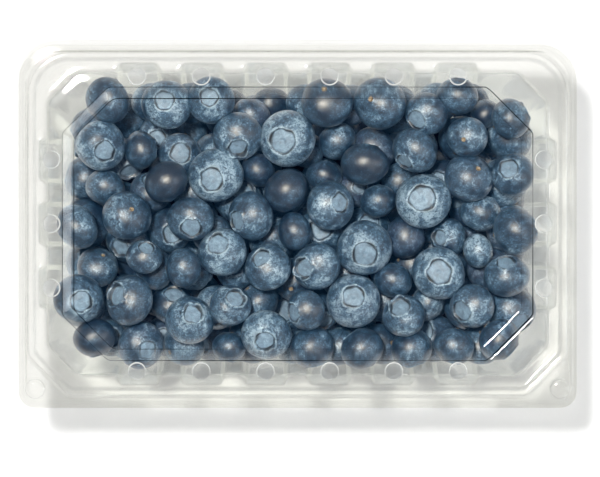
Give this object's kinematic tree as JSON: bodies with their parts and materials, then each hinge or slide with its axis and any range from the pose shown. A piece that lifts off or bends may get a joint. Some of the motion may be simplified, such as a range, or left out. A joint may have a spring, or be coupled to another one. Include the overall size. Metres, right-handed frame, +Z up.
{
  "type": "punnet of blueberries",
  "caption": "Clear hinged clamshell punnet with a vented, fluted lid, filled to the top with a heap of whole fresh blueberries.",
  "frame": {"origin": "underside of the tray, at the middle of the closed pack's footprint", "axes": "+X along the pack's length, +Y towards the lid's hinge at the back, +Z up"},
  "size_m": [0.1842, 0.1214, 0.075],
  "materials": {
    "clear_plastic": "clear thermoformed PET, glossy",
    "blueberry_skin": "fruit skin with a pale waxy bloom"
  },
  "bodies": {
    "tray": {"tray": "clear_plastic", "blueberries": "blueberry_skin"},
    "lid": {"lid": "clear_plastic"}
  },
  "joints": [
    {"name": "lid_hinge", "type": "hinge", "parent": "tray", "child": "lid", "pos_m": [0, 0.0601, 0.0603], "axis": [-1, 0, 0], "range_deg": [0, 180]}
  ]
}
